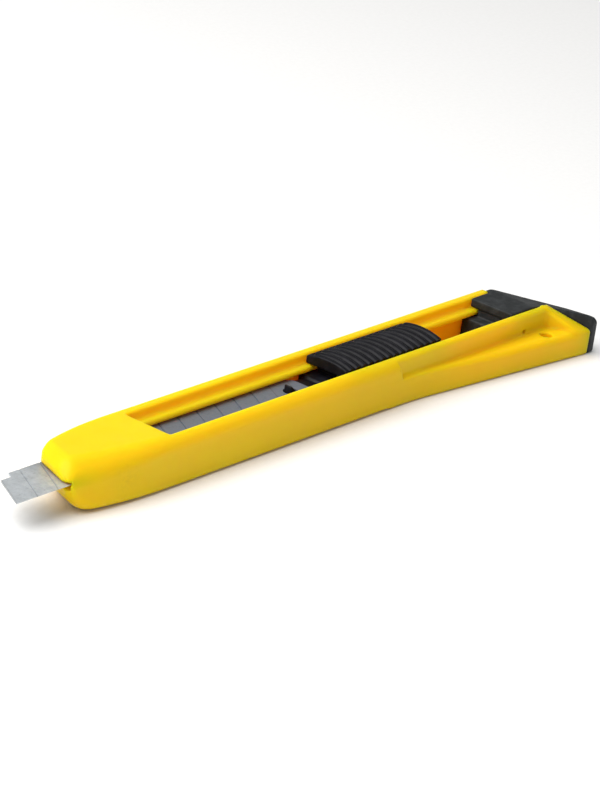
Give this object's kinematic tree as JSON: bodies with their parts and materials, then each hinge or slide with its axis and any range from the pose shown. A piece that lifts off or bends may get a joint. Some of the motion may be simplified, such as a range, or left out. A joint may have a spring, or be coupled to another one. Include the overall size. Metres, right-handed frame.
{
  "type": "utility knife",
  "caption": "Snap-off utility knife with an open-slot plastic body, ribbed thumb slider, scored blade, hanging wing and pull-off end cap.",
  "frame": {"origin": "on the underside, below the blade's centre line, half way along the body from the nose to the wing's rear corner", "axes": "+X from the nose toward the tail, +Z toward the thumb side, -Y toward the hanging wing"},
  "size_m": [0.1564, 0.019, 0.0105],
  "materials": {
    "body_plastic": "satin moulded yellow plastic",
    "blade_steel": "ground and lightly oiled carbon steel",
    "slider_plastic": "fine matte black plastic",
    "spring_steel": "rolled spring strip",
    "cap_plastic": "matte black plastic"
  },
  "bodies": {
    "handle": {"body": "body_plastic"},
    "slider": {"thumb_slider": "slider_plastic", "blade_carrier": "slider_plastic", "lock_spring": "spring_steel", "blade": "blade_steel"},
    "cap": {"end_cap": "cap_plastic"}
  },
  "joints": [
    {"name": "blade_slide", "type": "slide", "parent": "handle", "child": "slider", "axis": [-1, 0, 0], "range_m": [-0.015, 0.0475]},
    {"name": "cap_pull", "type": "slide", "parent": "handle", "child": "cap", "axis": [1, 0, 0], "range_m": [0, 0.03]}
  ]
}
